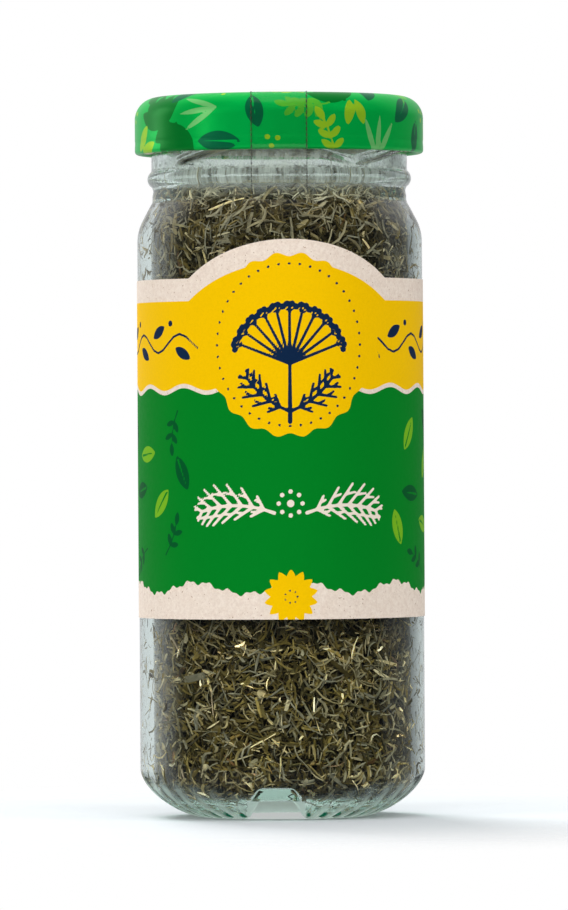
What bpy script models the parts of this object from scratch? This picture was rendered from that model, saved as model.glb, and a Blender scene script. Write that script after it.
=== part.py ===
"""A sealed glass spice jar filled with chopped dried dill, standing on its base.

Metres, +Z up. The origin is the middle of the base, on the surface that the jar stands on.
The front is -Y, where the label has its arch and the foot of the glass has its notch.
A turn angle is measured from the front towards +X, so it grows counterclockwise seen from above.
"""

import math
import random

import bmesh
import bpy
from mathutils import Vector

MM = 0.001

# Driving sizes of the glass
JAR_RADIUS = 23.0 * MM
WALL = 2.2 * MM
JAR_HEIGHT = 114.3 * MM
FOOT_RADIUS = 13.0 * MM
FOOT_FLAT = 1.4 * MM
PUNT_DEPTH = 3.4 * MM
HEEL_HEIGHT = 7.6 * MM
HEEL_POWER = 1.6
INNER_HEEL_ROUND = 4.2 * MM
FLOOR_AT_HEEL = 3.4 * MM
FLOOR_AT_MIDDLE = 5.6 * MM
KNURLS = 36
KNURL_HEIGHT = 0.35 * MM
KNURL_LEAN = 0.6
NOTCH_MIDDLE = -1.0 * MM
NOTCH_HEIGHT = 3.2 * MM
NOTCH_HALF_TOP = 2.4 * MM
NOTCH_HALF_FOOT = 4.9 * MM
NOTCH_GLASS = 2.6 * MM
SHOULDER_FOOT = 92.6 * MM
SHOULDER_ROUND = 8.0 * MM
SHOULDER_SLOPE = 30
NECK_FOOT = 99.6 * MM
UNDER_BEAD_RADIUS = 20.2 * MM
BEAD_HEIGHT = 102.9 * MM
BEAD_ROUND = 1.5 * MM
BEAD_CENTRE = 19.8 * MM
NECK_RADIUS = 20.65 * MM
RIM_OUTER_ROUND = 0.9 * MM
RIM_INNER_ROUND = 0.7 * MM
MOUTH_RADIUS = 18.2 * MM
FLARE_TOP = 101.2 * MM
FLARE_POWER = 1.2

# The screw thread: equal leads that rise to the right, as on any right-handed jar
THREADS = 4
THREAD_FOOT_TURN = -53
THREAD_FOOT = 105.2 * MM
THREAD_RISE = 0.0857 * MM
THREAD_TURN = 75
THREAD_RADIUS = 21.45 * MM
THREAD_SUNK = 0.45 * MM
THREAD_HALF_FOOT = 1.0 * MM
THREAD_HALF_CREST = 0.35 * MM
THREAD_STEPS = 8

# The lid
LID_RADIUS = 23.3 * MM
LID_TOP = 116.1 * MM
LID_FOOT = 106.8 * MM
LID_ROUND = 3.6 * MM
LID_SHEET = 0.35 * MM
LID_PANEL_RADIUS = 15.5 * MM
LID_PANEL_DROP = 0.4 * MM
LID_GROOVE_DROP = 0.9 * MM
LID_GROOVE_START = 0.7 * MM
LID_GROOVE_END = 1.4 * MM
LID_RIM_START = 2.2 * MM
HEM_THICKNESS = 1.15 * MM
HEM_HEIGHT = 1.9 * MM
LUG_TURN_FROM_THREAD = 48
LUG_HALF_TURN = 10
LUG_RADIUS = 21.05 * MM
LUG_ROOT = 22.55 * MM
LUG_FOOT = 107.15 * MM
LUG_TOP = 107.75 * MM
LINER_OUTER = 20.2 * MM
LINER_CLEAR = 0.32 * MM

# Clearances between pieces that touch on the real jar
GAP = 0.1 * MM
FILM = 0.1 * MM
PAPER = 0.18 * MM

# The clear seal strip
STRIP_WIDTH = 9.0 * MM
STRIP_START = 11.0 * MM
STRIP_BEND = 100.9 * MM
STRIP_FOOT = 100.2 * MM

# The label
LABEL_FOOT = 32.2 * MM
LABEL_TOP = 86.5 * MM
LABEL_ARCH_TOP = 92.6 * MM
LABEL_ARCH_HALF_WIDTH = 17.2 * MM
LABEL_COLUMNS = 90
LABEL_STEP = 3.75
LABEL_OFF_FRONT = 3.75

# The filling
DILL_TOP = 102.4 * MM
DILL_HEAP = 0.9 * MM
DILL_CLEAR = 0.25 * MM
DILL_CORE_DEPTH = 1.15 * MM
DILL_SUNK = 1.65 * MM
DILL_PIECES = 320
DILL_LENGTHS = (7.0 * MM, 12.0 * MM)
DILL_WIDTHS = (2.2 * MM, 3.6 * MM)
DILL_SLANT = 1.4
DILL_TRIES = 12
DILL_STEP_BACK = 0.12 * MM
DILL_SHRINK = 0.94
NOTCH_CORNER = 2.0 * MM
NOTCH_SPARE = 0.7 * MM
GOLDEN_ANGLE = 137.508
DILL_SEED = 7

# Points round the turned shapes
FINE = 2 * KNURLS
COARSE = KNURLS
LID_SIDES = 60
DILL_SIDES = 24


def material(name, colour, roughness, metallic=0.0, alpha=1.0):
    made = bpy.data.materials.new(name)
    made.use_nodes = True
    shader = made.node_tree.nodes["Principled BSDF"]
    shader.inputs["Base Color"].default_value = (*colour, 1.0)
    shader.inputs["Roughness"].default_value = roughness
    shader.inputs["Metallic"].default_value = metallic
    shader.inputs["Alpha"].default_value = alpha
    return made


def add_object(name, mesh, surface, smooth_degrees=30):
    """Turns a bmesh into an object with that material, shaded smooth but for its sharp edges."""
    bmesh.ops.recalc_face_normals(mesh, faces=mesh.faces)
    data = bpy.data.meshes.new(name)
    mesh.to_mesh(data)
    mesh.free()
    data.shade_smooth()
    data.set_sharp_from_angle(angle=math.radians(smooth_degrees))
    data.materials.append(surface)
    made = bpy.data.objects.new(name, data)
    bpy.context.scene.collection.objects.link(made)
    return made


def at_turn(radius, turn, height):
    """The point at a radius and a turn angle in degrees, counted from the front."""
    angle = math.radians(turn)
    return Vector((radius * math.sin(angle), -radius * math.cos(angle), height))


def arc(centre, radius, start, end, count):
    """(radius, height) points along an arc of the profile, from one angle to another, ends included."""
    angles = [math.radians(start + (end - start) * i / (count - 1)) for i in range(count)]
    return [(centre[0] + radius * math.cos(a), centre[1] + radius * math.sin(a)) for a in angles]


def offset(path, distance):
    """A profile moved sideways, to the right of the way it runs."""
    moved = []
    for i, (r, z) in enumerate(path):
        before, after = path[max(i - 1, 0)], path[min(i + 1, len(path) - 1)]
        way = Vector((after[0] - before[0], after[1] - before[1])).normalized()
        moved.append((r + way.y * distance, z - way.x * distance))
    return moved


def join_rings(mesh, low, high):
    """Faces between two rings of a turned shape. One may be a single point, or have half the points."""
    if len(low) == 1 or len(high) == 1:
        ring, pole = (high, low[0]) if len(low) == 1 else (low, high[0])
        for i, corner in enumerate(ring):
            mesh.faces.new((pole, corner, ring[(i + 1) % len(ring)]))
        return
    if len(low) == len(high):
        for i in range(len(low)):
            j = (i + 1) % len(low)
            mesh.faces.new((low[i], low[j], high[j], high[i]))
        return
    many, few = (low, high) if len(low) > len(high) else (high, low)
    for i in range(len(few)):
        j = (i + 1) % len(few)
        first, middle, last = many[2 * i], many[2 * i + 1], many[(2 * i + 2) % len(many)]
        mesh.faces.new((first, middle, few[i]))
        mesh.faces.new((middle, few[j], few[i]))
        mesh.faces.new((middle, last, few[j]))


def turned(stations, closed=False, place=None):
    """A bmesh turned about +Z from (radius, height, points round) stations. place may move each point."""
    mesh = bmesh.new()
    rings = []
    for index, (r, z, count) in enumerate(stations):
        points = [at_turn(r, 360 * k / count, z) for k in range(1 if r == 0 else count)]
        if place:
            points = [place(index, k, point) for k, point in enumerate(points)]
        rings.append([mesh.verts.new(point) for point in points])
    for low, high in zip(rings, rings[1:]):
        join_rings(mesh, low, high)
    if closed:
        join_rings(mesh, rings[-1], rings[0])
    return mesh


def unite(target, others, solver="EXACT"):
    """Fuses the objects in others into target by one Boolean, and removes them."""
    group = bpy.data.collections.new(target.name + "_pieces")
    bpy.context.scene.collection.children.link(group)
    for other in others:
        bpy.context.scene.collection.objects.unlink(other)
        group.objects.link(other)
    union = target.modifiers.new("union", "BOOLEAN")
    union.operation = "UNION"
    union.operand_type = "COLLECTION"
    union.collection = group
    union.solver = solver
    bpy.context.view_layer.objects.active = target
    bpy.ops.object.modifier_apply(modifier=union.name)
    for other in others:
        bpy.data.objects.remove(other)
    bpy.data.collections.remove(group)


def keep_one_body(target):
    """Deletes what a union can leave beside the body itself: sealed hollows inside it and loose scraps."""
    mesh = bmesh.new()
    mesh.from_mesh(target.data)
    bmesh.ops.triangulate(mesh, faces=mesh.faces)
    unseen = set(mesh.faces)
    bodies = []
    while unseen:
        body, edge_of = set(), [unseen.pop()]
        while edge_of:
            face = edge_of.pop()
            body.add(face)
            near = {other for edge in face.edges for other in edge.link_faces} & unseen
            unseen -= near
            edge_of.extend(near)
        bodies.append(body)
    bodies.sort(key=len)
    for body in bodies[:-1]:
        bmesh.ops.delete(mesh, geom=list(body), context="FACES")
    mesh.to_mesh(target.data)
    mesh.free()


def notch_lift(x, y):
    """How high the notch in the foot lifts the glass at a place: full under its flat top, none beside it."""
    if y > 0:
        return 0.0
    share = (NOTCH_HALF_FOOT - abs(x - NOTCH_MIDDLE)) / (NOTCH_HALF_FOOT - NOTCH_HALF_TOP)
    share = min(max(share, 0.0), 1.0)
    return NOTCH_HEIGHT * share * share * (3 - 2 * share)


def notch_floor(point):
    """The height that the filling keeps above the notch, a little beyond its sides too."""
    beside = max(abs(point.x - NOTCH_MIDDLE) - NOTCH_CORNER, 0.0)
    return notch_lift(NOTCH_MIDDLE + beside, point.y) + NOTCH_GLASS + NOTCH_SPARE


def heel():
    """The outside of the heel, from the foot to the wall: a superellipse, fuller than a round."""
    width = JAR_RADIUS - FOOT_RADIUS
    points = []
    for degrees in (15, 30, 45, 60, 75, 90):
        across = math.sin(math.radians(degrees)) ** (2 / HEEL_POWER)
        up = 1 - math.cos(math.radians(degrees)) ** (2 / HEEL_POWER)
        points.append((FOOT_RADIUS + width * across, HEEL_HEIGHT * up))
    return points


def jar_outside():
    """(punt, heel, wall and shoulder, neck and rim) profiles of the glass, each from the foot up."""
    punt = [
        (0.0, PUNT_DEPTH),
        (0.55 * FOOT_RADIUS, 0.95 * PUNT_DEPTH),
        (0.8 * FOOT_RADIUS, 0.65 * PUNT_DEPTH),
        (FOOT_RADIUS - FOOT_FLAT, 0.0),
        (FOOT_RADIUS, 0.0),
    ]
    shoulder = arc((JAR_RADIUS - SHOULDER_ROUND, SHOULDER_FOOT), SHOULDER_ROUND, 0, SHOULDER_SLOPE, 4)
    neck = [(UNDER_BEAD_RADIUS, NECK_FOOT)]
    neck += arc((BEAD_CENTRE, BEAD_HEIGHT), BEAD_ROUND, -70, 55, 5)
    outer_centre = (NECK_RADIUS - RIM_OUTER_ROUND, JAR_HEIGHT - RIM_OUTER_ROUND)
    inner_centre = (MOUTH_RADIUS + RIM_INNER_ROUND, JAR_HEIGHT - RIM_INNER_ROUND)
    neck += arc(outer_centre, RIM_OUTER_ROUND, 0, 90, 3)
    neck += arc(inner_centre, RIM_INNER_ROUND, 90, 180, 3)
    return punt, heel(), shoulder, neck


def jar_inside():
    """The profile of the hollow, from the neck down to the middle of the floor."""
    inner = JAR_RADIUS - WALL
    profile = []
    for share in (0, 0.3, 0.62, 1):
        wider = math.sin(share * math.pi / 2) ** FLARE_POWER
        height = FLARE_TOP - (FLARE_TOP - SHOULDER_FOOT) * share
        profile.append((MOUTH_RADIUS + (inner - MOUTH_RADIUS) * wider, height))
    heel_centre = (inner - INNER_HEEL_ROUND, FLOOR_AT_HEEL + INNER_HEEL_ROUND)
    profile += arc(heel_centre, INNER_HEEL_ROUND, 0, -90, 4)
    profile.append((0.55 * heel_centre[0], 0.3 * FLOOR_AT_HEEL + 0.7 * FLOOR_AT_MIDDLE))
    profile.append((0.0, FLOOR_AT_MIDDLE))
    return profile


def thread(number):
    """One lead of the thread: a ridge on a helix, sunk into the neck, that fades out at both ends."""
    mesh = bmesh.new()
    root = NECK_RADIUS - THREAD_SUNK
    low_crest = root + THREAD_SUNK / 2
    sections = []
    for i in range(THREAD_STEPS + 1):
        share = i / THREAD_STEPS
        turn = THREAD_FOOT_TURN + number * 360 / THREADS + THREAD_TURN * share
        height = THREAD_FOOT + THREAD_RISE * THREAD_TURN * share
        full = min(1.0, 5 * share, 5 * (1 - share))
        crest = low_crest + (THREAD_RADIUS - low_crest) * full
        foot = THREAD_HALF_FOOT * (0.5 + 0.5 * full)
        top = THREAD_HALF_CREST * (0.5 + 0.5 * full)
        corners = [(root, -foot), (crest, -top), (crest, top), (root, foot)]
        sections.append([mesh.verts.new(at_turn(r, turn, height + dz)) for r, dz in corners])
    for here, there in zip(sections, sections[1:]):
        for k in range(4):
            mesh.faces.new((here[k], here[(k + 1) % 4], there[(k + 1) % 4], there[k]))
    mesh.faces.new(sections[0])
    mesh.faces.new(reversed(sections[-1]))
    return add_object(f"thread_{number}", mesh, bpy.data.materials["glass"])


def glass_jar():
    """The jar: one piece of pressed glass, with its punt, knurled heel, notch, bead and thread."""
    punt, heel_points, shoulder, neck = jar_outside()
    inside = jar_inside()
    stations = [(r, z, COARSE) for r, z in punt[:3]]
    stations += [(r, z, FINE) for r, z in punt[3:] + heel_points + shoulder]
    stations += [(r, z, COARSE) for r, z in neck + inside]
    first_knurled = len(punt)
    last_knurled = first_knurled + len(heel_points) - 2
    first_inside = len(stations) - len(inside)

    def place(index, k, point):
        lift = notch_lift(point.x, point.y)
        if first_knurled <= index <= last_knurled:
            outward = Vector((point.x, point.y, -KNURL_LEAN * JAR_RADIUS)).normalized()
            ridge = (0.5 if k % 2 else -0.5) * (1 - lift / NOTCH_HEIGHT)
            point = point + outward * KNURL_HEIGHT * ridge
            point.z = max(point.z, KNURL_HEIGHT / 2)
        if index >= first_inside:
            lift += NOTCH_GLASS
        if index < first_inside and index > last_knurled + 1:
            return point
        return Vector((point.x, point.y, max(point.z, lift)))

    jar = add_object("glass_jar", turned(stations, place=place), bpy.data.materials["glass"])
    unite(jar, [thread(number) for number in range(THREADS)])


def lid_lug(number):
    """One of the tongues that bend in from the hem and hook under the thread."""
    mesh = bmesh.new()
    middle = THREAD_FOOT_TURN + LUG_TURN_FROM_THREAD + number * 360 / THREADS
    sections = []
    for share in (-1, -0.5, 0, 0.5, 1):
        turn = middle + LUG_HALF_TURN * share
        reach = LUG_RADIUS if abs(share) < 1 else LUG_RADIUS + GAP * 3
        corners = [(reach, LUG_FOOT), (LUG_ROOT, LUG_FOOT), (LUG_ROOT, LUG_TOP), (reach, LUG_TOP)]
        sections.append([mesh.verts.new(at_turn(r, turn, z)) for r, z in corners])
    for here, there in zip(sections, sections[1:]):
        for k in range(4):
            mesh.faces.new((here[k], here[(k + 1) % 4], there[(k + 1) % 4], there[k]))
    mesh.faces.new(sections[0])
    mesh.faces.new(reversed(sections[-1]))
    return add_object(f"lug_{number}", mesh, bpy.data.materials["lid_print"])


def twist_lid():
    """The pressed steel lid: a panel in a groove, a rounded edge, a straight skirt and a rolled hem."""
    round_centre = (LID_RADIUS - LID_ROUND, LID_TOP - LID_ROUND)
    panel = LID_TOP - LID_PANEL_DROP
    groove = LID_TOP - LID_GROOVE_DROP
    top = [(0.0, panel), (LID_PANEL_RADIUS, panel)]
    top += [(LID_PANEL_RADIUS + LID_GROOVE_START, groove), (LID_PANEL_RADIUS + LID_GROOVE_END, groove)]
    top += [(LID_PANEL_RADIUS + LID_RIM_START, LID_TOP)]
    outside = top + arc(round_centre, LID_ROUND, 90, 0, 4)
    sheet = [(0.0, panel - LID_SHEET), (LID_PANEL_RADIUS, panel - LID_SHEET)]
    sheet += [(r, z - LID_SHEET) for r, z in top[3:]]
    sheet += arc(round_centre, LID_ROUND - LID_SHEET, 90, 0, 4)
    hem_inner = LID_RADIUS - HEM_THICKNESS
    hem_round = HEM_THICKNESS / 2
    hem = [(LID_RADIUS - LID_SHEET, LID_FOOT + HEM_HEIGHT), (hem_inner, LID_FOOT + 0.8 * HEM_HEIGHT)]
    hem += arc((hem_inner + hem_round, LID_FOOT + hem_round), hem_round, 180, 360, 4)
    profile = sheet + hem + outside[::-1]
    lid_mesh = turned([(r, z, LID_SIDES) for r, z in profile])
    lid = add_object("twist_lid", lid_mesh, bpy.data.materials["lid_print"])
    unite(lid, [lid_lug(number) for number in range(THREADS)])


def lid_liner():
    """The soft ring under the lid that seals on the rim of the glass."""
    inner, outer = MOUTH_RADIUS - GAP, LINER_OUTER
    foot, top = JAR_HEIGHT + GAP, LID_TOP - LID_SHEET - LINER_CLEAR
    profile = [(inner, foot), (outer, foot), (outer, top), (inner, top)]
    mesh = turned([(r, z, LID_SIDES) for r, z in profile], closed=True)
    add_object("lid_liner", mesh, bpy.data.materials["liner"])


def seal_strip():
    """The clear sticky strip from the top of the lid, down its skirt and over the bead, of equal width."""
    panel = LID_TOP - LID_PANEL_DROP + GAP
    path = [(STRIP_START, panel), (LID_PANEL_RADIUS, panel)]
    path.append((LID_PANEL_RADIUS + LID_RIM_START, LID_TOP + GAP))
    path += arc((LID_RADIUS - LID_ROUND, LID_TOP - LID_ROUND), LID_ROUND + GAP, 90, 0, 7)
    path.append((LID_RADIUS + GAP, LID_FOOT + HEM_THICKNESS / 2))
    path += arc((BEAD_CENTRE, BEAD_HEIGHT), BEAD_ROUND + GAP, -20, -60, 3)
    path += [(UNDER_BEAD_RADIUS + 2 * GAP, STRIP_BEND), (UNDER_BEAD_RADIUS + GAP, STRIP_FOOT)]
    loop = path + offset(path, -FILM)[::-1]
    mesh = bmesh.new()
    columns = []
    for share in (-1, -0.66, 0, 0.66, 1):
        across = STRIP_WIDTH / 2 * share
        points = [(across, -math.sqrt(r**2 - across**2), z) for r, z in loop]
        columns.append([mesh.verts.new(point) for point in points])
    for here, there in zip(columns, columns[1:]):
        for i in range(len(loop)):
            j = (i + 1) % len(loop)
            mesh.faces.new((here[i], here[j], there[j], there[i]))
    last = len(loop) - 1
    for column in (columns[0], columns[-1]):
        for i in range(len(path) - 1):
            mesh.faces.new((column[i], column[i + 1], column[last - i - 1], column[last - i]))
    add_object("seal_strip", mesh, bpy.data.materials["clear_film"])


def label_top(turn):
    """The height of the label's upper edge: straight, with a low arch over the front."""
    along = math.radians(turn) * JAR_RADIUS
    rise = LABEL_ARCH_TOP - LABEL_TOP
    radius = (LABEL_ARCH_HALF_WIDTH**2 + rise**2) / (2 * rise)
    if abs(along) >= LABEL_ARCH_HALF_WIDTH:
        return LABEL_TOP
    return LABEL_ARCH_TOP - radius + math.sqrt(radius**2 - along**2)


def paper_label():
    """The paper label, one strip wrapped nearly all the way round, with its ends apart at the back."""
    mesh = bmesh.new()
    inner, outer = JAR_RADIUS + GAP, JAR_RADIUS + GAP + PAPER
    columns = []
    for k in range(LABEL_COLUMNS + 1):
        turn = LABEL_STEP * (k - LABEL_COLUMNS / 2)
        place = turn + LABEL_OFF_FRONT
        top = label_top(turn)
        corners = [(inner, LABEL_FOOT), (outer, LABEL_FOOT), (outer, top), (inner, top)]
        columns.append([mesh.verts.new(at_turn(r, place, z)) for r, z in corners])
    for here, there in zip(columns, columns[1:]):
        for i in range(4):
            mesh.faces.new((here[i], here[(i + 1) % 4], there[(i + 1) % 4], there[i]))
    mesh.faces.new(columns[0])
    mesh.faces.new(reversed(columns[-1]))
    add_object("paper_label", mesh, bpy.data.materials["label_paper"])


def dill_outline():
    """The profile that the filling reaches: the hollow of the jar up to the neck, then the heap's top."""
    inside = jar_inside()[::-1]
    heap = [(MOUTH_RADIUS, DILL_TOP - 0.9 * DILL_HEAP), (0.9 * MOUTH_RADIUS, DILL_TOP)]
    heap += [(0.5 * MOUTH_RADIUS, DILL_TOP + DILL_HEAP), (0.0, DILL_TOP + 0.7 * DILL_HEAP)]
    return inside + heap


def room_at(point):
    """How far a point lies inside the filling's room, roughly. Below 0 it is in the glass or above the heap."""
    radius = math.hypot(point.x, point.y)
    side = jar_inside()
    reach = MOUTH_RADIUS if point.z > side[0][1] else 0.0
    for (r1, z1), (r2, z2) in zip(side, side[1:]):
        if z2 <= point.z <= z1:
            reach = max(reach, r2 + (r1 - r2) * (point.z - z2) / (z1 - z2))
    floor = notch_floor(point)
    for (r1, z1), (r2, z2) in zip(side[-3:], side[-2:]):
        if r2 <= radius <= r1:
            floor = max(floor, z1 + (z2 - z1) * (r1 - radius) / (r1 - r2))
    facet = math.cos(math.pi / COARSE)
    return min(reach * facet - radius, point.z - floor, DILL_TOP + 2 * DILL_HEAP - point.z)


def along(path):
    """Points every so often along a profile, as (radius, height, direction, share of the area so far)."""
    found, area = [], 0.0
    for (r1, z1), (r2, z2) in zip(path, path[1:]):
        length = math.hypot(r2 - r1, z2 - z1)
        pieces = max(2, math.ceil(length / MM))
        way = Vector(((r2 - r1) / length, (z2 - z1) / length))
        for i in range(pieces):
            share = (i + 0.5) / pieces
            r, z = r1 + (r2 - r1) * share, z1 + (z2 - z1) * share
            area += r * length / pieces
            found.append((r, z, way, area))
    return [(r, z, way, at / area) for r, z, way, at in found]


def dill_piece(number, spots, draw):
    """A chopped bit of leaf or stalk: a flat face near the glass, over a keel that is sunk into the core."""
    share = (number + 0.5) / DILL_PIECES
    r, z, way, _ = next(spot for spot in spots if spot[3] >= share)
    turn = number * GOLDEN_ANGLE + draw.uniform(-6, 6)
    round_way = at_turn(1, turn + 90, 0)
    up_way = at_turn(way.x, turn, way.y)
    outward = round_way.cross(up_way).normalized()
    slant = draw.uniform(-DILL_SLANT, DILL_SLANT)
    long_way = round_way * math.sin(slant) + up_way * math.cos(slant)
    side_way = outward.cross(long_way)
    length = draw.uniform(*DILL_LENGTHS) * (1 - 0.3 * abs(math.sin(slant)))
    width = draw.uniform(*DILL_WIDTHS)
    sunk = outward * DILL_SUNK
    middle = at_turn(r, turn, z) - outward * DILL_CLEAR
    tapers = draw.uniform(0.7, 1.0), draw.uniform(0.25, 0.8)
    for _ in range(DILL_TRIES):
        points = []
        for end, taper in zip((-0.5, 0.5), tapers):
            centre = middle + long_way * length * end
            half = side_way * width * taper / 2
            points += [centre + half, centre - half, centre - sunk - long_way * length * end * 0.2]
        halfway = [(start + end) / 2 for start, end in zip(points[:3], points[3:])]
        fits = min(room_at(point) for point in points + halfway) > DILL_CLEAR * 0.6
        if fits:
            break
        middle -= outward * DILL_STEP_BACK
        length *= DILL_SHRINK
    if not fits:
        return None
    mesh = bmesh.new()
    a, b, c, d, e, f = [mesh.verts.new(point) for point in points]
    for corners in ((a, b, c), (d, f, e), (a, d, e, b), (b, e, f, c), (c, f, d, a)):
        mesh.faces.new(corners)
    return add_object(f"piece_{number}", mesh, bpy.data.materials["dill"])


def dried_dill():
    """The filling: a core that fills the jar, with the chopped stalks and leaves standing out all over it."""
    draw = random.Random(DILL_SEED)
    outline = dill_outline()
    inset = offset(outline, -DILL_CORE_DEPTH)
    inset[0] = (0.0, outline[0][1] + DILL_CORE_DEPTH)
    inset[-1] = (0.0, outline[-1][1] - DILL_CORE_DEPTH)

    def place(_index, _k, point):
        push = 1 + draw.uniform(-0.012, 0.006)
        floor = notch_floor(point) + DILL_CORE_DEPTH - NOTCH_SPARE
        return Vector((point.x * push, point.y * push, max(point.z, floor)))

    core = turned([(r, z, DILL_SIDES) for r, z in inset], place=place)
    filling = add_object("dried_dill", core, bpy.data.materials["dill"])
    spots = along(outline)
    pieces = [dill_piece(number, spots, draw) for number in range(DILL_PIECES)]
    unite(filling, [piece for piece in pieces if piece], solver="MANIFOLD")
    keep_one_body(filling)
    filling.data.set_sharp_from_angle(angle=math.radians(20))


def main():
    for old in list(bpy.data.objects):
        bpy.data.objects.remove(old)
    material("glass", (0.86, 0.94, 0.92), 0.03, alpha=0.35)
    material("lid_print", (0.0, 0.36, 0.12), 0.28, metallic=0.3)
    material("liner", (0.72, 0.74, 0.7), 0.6)
    material("clear_film", (0.95, 0.96, 0.97), 0.12, alpha=0.25)
    material("label_paper", (0.86, 0.78, 0.7), 0.7)
    material("dill", (0.13, 0.115, 0.05), 0.85)
    glass_jar()
    twist_lid()
    lid_liner()
    seal_strip()
    paper_label()
    dried_dill()


main()
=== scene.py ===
"""The looks of the jar of dried dill: fine glass, printed lid, label, seal strip and the chopped herb.

Everything is in metres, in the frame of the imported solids: +Z up, the front towards -Y.
A turn is an angle in degrees, counted from the front towards +X.
"""

import math
from functools import reduce

import bpy
import numpy as np
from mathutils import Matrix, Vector


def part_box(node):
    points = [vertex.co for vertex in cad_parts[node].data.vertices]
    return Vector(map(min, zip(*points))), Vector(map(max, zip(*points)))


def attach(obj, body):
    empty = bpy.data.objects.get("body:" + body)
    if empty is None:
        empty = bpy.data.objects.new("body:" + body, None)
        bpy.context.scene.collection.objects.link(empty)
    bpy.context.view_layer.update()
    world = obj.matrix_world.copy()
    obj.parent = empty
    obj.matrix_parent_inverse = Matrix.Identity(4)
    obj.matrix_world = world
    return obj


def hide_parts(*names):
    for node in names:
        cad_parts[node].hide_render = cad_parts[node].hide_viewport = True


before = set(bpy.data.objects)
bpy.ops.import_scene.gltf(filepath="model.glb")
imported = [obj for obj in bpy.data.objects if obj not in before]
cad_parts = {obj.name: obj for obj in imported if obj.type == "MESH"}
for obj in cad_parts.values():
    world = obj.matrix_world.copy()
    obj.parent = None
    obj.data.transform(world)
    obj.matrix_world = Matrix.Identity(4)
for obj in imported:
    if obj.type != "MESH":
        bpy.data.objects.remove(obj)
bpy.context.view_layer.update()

MM = 0.001
JAR_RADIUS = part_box("glass_jar")[1].x
JAR_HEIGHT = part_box("glass_jar")[1].z
LID_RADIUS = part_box("twist_lid")[1].x
LID_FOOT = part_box("twist_lid")[0].z
LID_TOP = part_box("twist_lid")[1].z
LABEL_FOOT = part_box("paper_label")[0].z
LABEL_ARCH_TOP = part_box("paper_label")[1].z
LABEL_RISE = 6.1 * MM
LABEL_TOP = LABEL_ARCH_TOP - LABEL_RISE
LABEL_ARCH_HALF = 17.2 * MM
LABEL_HALF_TURN = 168.75
LABEL_OFF_FRONT = 3.75

WALL = 2.2 * MM
FOOT_RADIUS = 13.0 * MM
RING_INNER = 11.6 * MM
PUNT_DEPTH = 3.4 * MM
HEEL_HEIGHT = 7.6 * MM
HEEL_POWER = 1.6
INNER_HEEL_ROUND = 4.2 * MM
FLOOR_EDGE = JAR_RADIUS - WALL - INNER_HEEL_ROUND
SHOULDER_FOOT = 92.6 * MM
SHOULDER_ROUND = 8.0 * MM
BEAD_HEIGHT = 102.9 * MM
BEAD_ROUND = 1.5 * MM
NECK_RADIUS = 20.65 * MM
UNDER_BEAD_RADIUS = 20.2 * MM
MOUTH_RADIUS = 18.2 * MM
FLOOR_AT_HEEL = 3.4 * MM
FLOOR_AT_MIDDLE = 5.6 * MM
NOTCH_MIDDLE = -1.0 * MM
NOTCH_HEIGHT = 3.2 * MM
NOTCH_HALF_TOP = 2.4 * MM
NOTCH_HALF_FOOT = 4.9 * MM
NOTCH_GLASS = 2.4 * MM
JAR_SIDES = 300
BEAD_CENTRE = (NECK_RADIUS - 0.85 * MM, BEAD_HEIGHT)
INNER_SHOULDER_TOP = 101.2 * MM
KNURLS = 36
KNURL_DEPTH = 0.45 * MM
THREADS = 4
THREAD_FOOT_TURN = -53
THREAD_FOOT = 105.2 * MM
THREAD_RISE = 0.0857 * MM
THREAD_TURN = 75
DILL_TOP = 100.9 * MM
DUST_FOOT = 98.5 * MM
SCUFFED_TO = 20.5 * MM
FROSTED_TO = 22.95 * MM
FILM_FOOT = 99.5 * MM
FILM_THICKENS = 103.0 * MM
FILM_TOP = 107.5 * MM
WHITE = (1.0, 1.0, 1.0)


# Numbers, colours and meshes

def srgb(red, green, blue):
    """A colour given as it looks on a screen, 0 to 255, in the linear values that shaders take."""
    return [(v / 255 / 12.92) if v < 10.3 else ((v / 255 + 0.055) / 1.055) ** 2.4 for v in (red, green, blue)]


def arc(centre, radius, start, end, count):
    """(radius, height) points along an arc of a profile, angles in degrees, ends included."""
    angles = np.radians(np.linspace(start, end, count))
    return [(centre[0] + radius * math.cos(a), centre[1] + radius * math.sin(a)) for a in angles]


def spaced(path, step):
    """A profile with more points, none further apart than step."""
    found = [path[0]]
    for (r1, z1), (r2, z2) in zip(path, path[1:]):
        count = max(1, math.ceil(math.hypot(r2 - r1, z2 - z1) / step))
        found += [(r1 + (r2 - r1) * i / count, z1 + (z2 - z1) * i / count) for i in range(1, count + 1)]
    return found


def spots(radius, height, places):
    """Points of a profile, given in millimetres from a radius and a height."""
    return [(radius + r * MM, height + z * MM) for r, z in places]


def offset(path, distance):
    """A profile moved sideways, to the right of the way it runs."""
    moved = []
    for i, (r, z) in enumerate(path):
        before, after = path[max(i - 1, 0)], path[min(i + 1, len(path) - 1)]
        way = Vector((after[0] - before[0], after[1] - before[1])).normalized()
        moved.append((r + way.y * distance, z - way.x * distance))
    return moved


def placed(name, data):
    """A new object in the scene."""
    made = bpy.data.objects.new(name, data)
    bpy.context.scene.collection.objects.link(made)
    return made


def mesh_object(name, points, faces, sharp=None):
    """An object from points and faces: flat, or smooth but for edges sharper than an angle."""
    data = bpy.data.meshes.new(name)
    sizes = np.array([len(face) for face in faces], np.int32)
    corners = np.concatenate([np.asarray(face, np.int32) for face in faces])
    data.vertices.add(len(points))
    data.vertices.foreach_set("co", np.asarray(points, np.float32).ravel())
    data.loops.add(len(corners))
    data.loops.foreach_set("vertex_index", corners)
    data.polygons.add(len(sizes))
    data.polygons.foreach_set("loop_start", np.concatenate([[0], np.cumsum(sizes)[:-1]]).astype(np.int32))
    data.update(calc_edges=True)
    data.validate()
    if sharp:
        data.shade_smooth()
        data.set_sharp_from_angle(angle=math.radians(sharp))
    return placed(name, data)


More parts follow.
